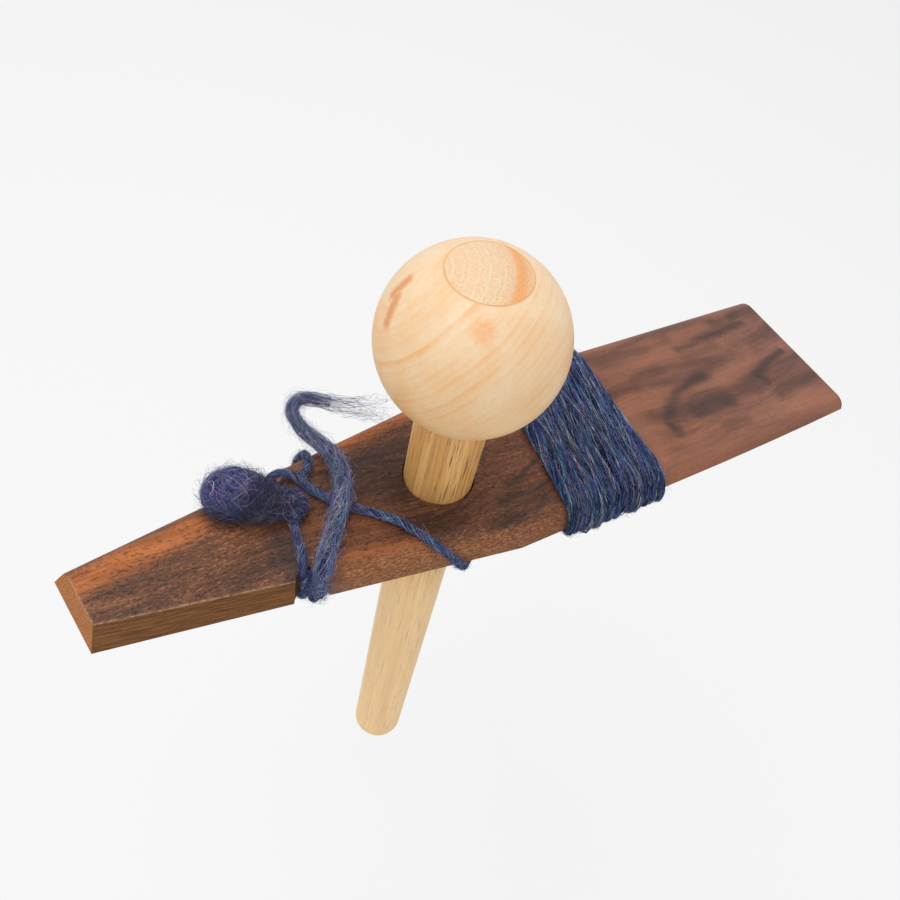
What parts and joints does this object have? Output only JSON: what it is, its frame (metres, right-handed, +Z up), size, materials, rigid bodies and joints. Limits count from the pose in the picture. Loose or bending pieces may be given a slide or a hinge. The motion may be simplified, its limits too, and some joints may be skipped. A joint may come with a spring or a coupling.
{
  "type": "hand spindle",
  "caption": "Hand spindle: a tapered wooden paddle, notched for yarn and wound with wool, that whirls round a plain round shaft under a turned ball.",
  "frame": {"origin": "on the shaft's axis, in the middle of the hand's grip below the paddle", "axes": "+Z up the shaft to the ball, +X along the paddle to its wide, thin end, +Y to the paddle's back edge"},
  "size_m": [0.1964, 0.0533, 0.221],
  "materials": {
    "walnut": "satin oil",
    "beech": "satin",
    "birch": "satin",
    "yarn": "fuzzy spun wool",
    "fibre": "loose unspun wool"
  },
  "bodies": {
    "handle": {"spindle_shaft": "beech", "ball_knob": "birch"},
    "paddle": {"paddle": "walnut", "cop_winding": "yarn", "leader_yarn": "yarn", "neck_hitch": "yarn", "back_strand": "yarn", "fibre_puff": "fibre", "roving_tail": "fibre"}
  },
  "joints": [
    {"name": "paddle_spin", "type": "hinge", "parent": "handle", "child": "paddle", "pos_m": [0, 0, 0.082], "axis": [0, 0, 1], "continuous": true}
  ]
}
